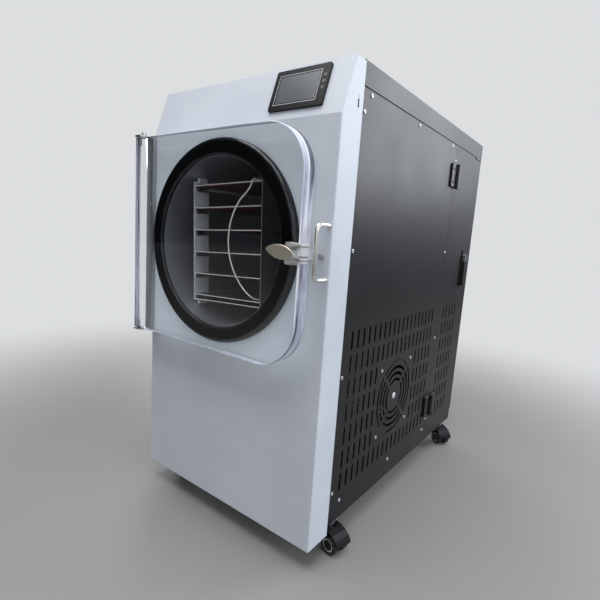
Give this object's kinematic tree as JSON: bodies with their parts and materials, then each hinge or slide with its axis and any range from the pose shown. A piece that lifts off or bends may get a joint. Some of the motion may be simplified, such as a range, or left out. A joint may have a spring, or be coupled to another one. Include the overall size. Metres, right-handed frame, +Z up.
{
  "type": "freeze dryer",
  "caption": "Upright laboratory freeze dryer on casters with a clear swing door, heated shelf rack in a drum chamber, touchscreen and vented side panels.",
  "frame": {"origin": "middle of the bounding box's underside, on the floor", "axes": "+Z up, the door side faces -Y, +X to the right seen from the front"},
  "size_m": [0.6497, 1.112, 1.128],
  "materials": {
    "painted_grey": "satin powder coat, pale blue-grey",
    "painted_black": "fine-textured black powder coat",
    "stainless": "satin stainless steel",
    "polished_steel": "polished stainless steel",
    "zinc_steel": "bright zinc plate",
    "clear_acrylic": "clear, polished edges",
    "black_rubber": "glossy moulded rubber",
    "black_plastic": "fine-grained moulded plastic",
    "tyre_plastic": "smooth polyurethane",
    "display_glass": "matt grey display, unlit",
    "heater_red": "dark red silicone rubber mat",
    "foam": "closed-cell foam",
    "copper": "drawn copper tube",
    "lead_white": "white silicone jacket",
    "pump_paint": "hammered dark paint",
    "hose_steel": "corrugated stainless hose"
  },
  "bodies": {
    "cabinet": {"front_fascia": "painted_grey", "chassis": "painted_black", "top_cover": "painted_black", "side_panel_right": "painted_black", "side_panel_left": "painted_black", "rear_panel": "painted_black", "access_hinge_leaves_fixed": "black_plastic", "chamber_drum": "polished_steel", "insulation_jacket": "foam", "door_gasket": "black_rubber", "rack_uprights": "stainless", "rack_shelves": "stainless", "heater_mats": "heater_red", "rack_screws": "zinc_steel", "probe_lead": "lead_white", "probe_fittings": "stainless", "door_hinge_strip": "stainless", "door_hinge_fittings": "stainless", "keeper_bar": "stainless", "claw_stop": "black_rubber", "screen_housing": "black_plastic", "screen_glass": "display_glass", "data_port": "black_plastic", "side_screws": "zinc_steel", "fan_frame": "black_plastic", "condenser_coil": "zinc_steel", "compressor": "painted_black", "refrigerant_lines": "copper", "vacuum_pump": "pump_paint", "vacuum_hose": "hose_steel", "control_tray": "zinc_steel", "power_inlet": "black_plastic", "drain_pipe": "lead_white", "drain_valve": "zinc_steel", "caster_plates": "zinc_steel"},
    "door": {"door_panel": "clear_acrylic", "latch_base": "stainless", "latch_pin": "stainless"},
    "latch_lever": {"latch_lever": "stainless"},
    "access_door": {"access_door": "painted_black", "access_hinge_leaves_moving": "black_plastic", "lock_base": "black_plastic"},
    "lock_spindle": {"lock_spindle": "zinc_steel"},
    "lock_lever": {"lock_lever": "black_plastic"},
    "fan_impeller": {"fan_impeller": "black_plastic"},
    "rocker_key": {"rocker_key": "black_plastic"},
    "drain_valve_lever": {"drain_valve_lever": "painted_black"},
    "caster_fork_front_left": {"caster_fork_front_left": "zinc_steel"},
    "caster_wheel_front_left": {"caster_wheel_front_left": "tyre_plastic"},
    "caster_pedal_front_left": {"caster_pedal_front_left": "black_plastic"},
    "caster_fork_front_right": {"caster_fork_front_right": "zinc_steel"},
    "caster_wheel_front_right": {"caster_wheel_front_right": "tyre_plastic"},
    "caster_pedal_front_right": {"caster_pedal_front_right": "black_plastic"},
    "caster_fork_rear_left": {"caster_fork_rear_left": "zinc_steel"},
    "caster_wheel_rear_left": {"caster_wheel_rear_left": "tyre_plastic"},
    "caster_pedal_rear_left": {"caster_pedal_rear_left": "black_plastic"},
    "caster_fork_rear_right": {"caster_fork_rear_right": "zinc_steel"},
    "caster_wheel_rear_right": {"caster_wheel_rear_right": "tyre_plastic"},
    "caster_pedal_rear_right": {"caster_pedal_rear_right": "black_plastic"}
  },
  "joints": [
    {"name": "door_swing", "type": "hinge", "parent": "cabinet", "child": "door", "pos_m": [-0.3118, -0.5105, 0.735], "axis": [0, 0, -1], "range_deg": [0, 110]},
    {"name": "latch_turn", "type": "hinge", "parent": "door", "child": "latch_lever", "pos_m": [0.2612, -0.54, 0.732], "axis": [0, 0, 1], "range_deg": [-11, 30]},
    {"name": "access_door_swing", "type": "hinge", "parent": "cabinet", "child": "access_door", "pos_m": [0.2907, 0.2235, 0.597], "axis": [0, 0, -1], "range_deg": [0, 100]},
    {"name": "lock_turn", "type": "hinge", "parent": "access_door", "child": "lock_spindle", "pos_m": [0.2832, 0.414, 0.718], "axis": [1, 0, 0], "range_deg": [0, 90]},
    {"name": "lock_lift", "type": "hinge", "parent": "lock_spindle", "child": "lock_lever", "pos_m": [0.2932, 0.414, 0.724], "axis": [0, -1, 0], "range_deg": [0, 35]},
    {"name": "fan_spin", "type": "hinge", "parent": "cabinet", "child": "fan_impeller", "pos_m": [0.2632, -0.08, 0.325], "axis": [1, 0, 0], "continuous": true},
    {"name": "rocker_tilt", "type": "hinge", "parent": "cabinet", "child": "rocker_key", "pos_m": [-0.1438, 0.488, 0.62], "axis": [1, 0, 0], "range_deg": [0, 12]},
    {"name": "drain_valve_turn", "type": "hinge", "parent": "cabinet", "child": "drain_valve_lever", "pos_m": [-0.2138, 0.515, 0.264], "axis": [0, 0, 1], "range_deg": [0, 90]},
    {"name": "caster_swivel_front_left", "type": "hinge", "parent": "cabinet", "child": "caster_fork_front_left", "pos_m": [-0.2908, -0.358, 0.065], "axis": [0, 0, 1], "continuous": true},
    {"name": "caster_roll_front_left", "type": "hinge", "parent": "caster_fork_front_left", "child": "caster_wheel_front_left", "pos_m": [-0.26637, -0.36689, 0.025], "axis": [0.342, 0.9397, 0], "continuous": true},
    {"name": "caster_brake_front_left", "type": "hinge", "parent": "caster_fork_front_left", "child": "caster_pedal_front_left", "pos_m": [-0.28516, -0.36005, 0.056], "axis": [0.342, 0.9397, 0], "range_deg": [0, 4.5]},
    {"name": "caster_swivel_front_right", "type": "hinge", "parent": "cabinet", "child": "caster_fork_front_right", "pos_m": [0.2632, -0.358, 0.065], "axis": [0, 0, 1], "continuous": true},
    {"name": "caster_roll_front_right", "type": "hinge", "parent": "caster_fork_front_right", "child": "caster_wheel_front_right", "pos_m": [0.28863, -0.36341, 0.025], "axis": [0.2079, 0.9781, 0], "continuous": true},
    {"name": "caster_brake_front_right", "type": "hinge", "parent": "caster_fork_front_right", "child": "caster_pedal_front_right", "pos_m": [0.26907, -0.35925, 0.056], "axis": [0.2079, 0.9781, 0], "range_deg": [0, 4.5]},
    {"name": "caster_swivel_rear_left", "type": "hinge", "parent": "cabinet", "child": "caster_fork_rear_left", "pos_m": [-0.2908, 0.424, 0.065], "axis": [0, 0, 1], "continuous": true},
    {"name": "caster_roll_rear_left", "type": "hinge", "parent": "caster_fork_rear_left", "child": "caster_wheel_rear_left", "pos_m": [-0.26784, 0.41179, 0.025], "axis": [0.4695, 0.8829, 0], "continuous": true},
    {"name": "caster_brake_rear_left", "type": "hinge", "parent": "caster_fork_rear_left", "child": "caster_pedal_rear_left", "pos_m": [-0.2855, 0.42118, 0.056], "axis": [0.4695, 0.8829, 0], "range_deg": [0, 4.5]},
    {"name": "caster_swivel_rear_right", "type": "hinge", "parent": "cabinet", "child": "caster_fork_rear_right", "pos_m": [0.2632, 0.424, 0.065], "axis": [0, 0, 1], "continuous": true},
    {"name": "caster_roll_rear_right", "type": "hinge", "parent": "caster_fork_rear_right", "child": "caster_wheel_rear_right", "pos_m": [0.28423, 0.40872, 0.025], "axis": [0.5878, 0.809, 0], "continuous": true},
    {"name": "caster_brake_rear_right", "type": "hinge", "parent": "caster_fork_rear_right", "child": "caster_pedal_rear_right", "pos_m": [0.26805, 0.42047, 0.056], "axis": [0.5878, 0.809, 0], "range_deg": [0, 4.5]}
  ]
}
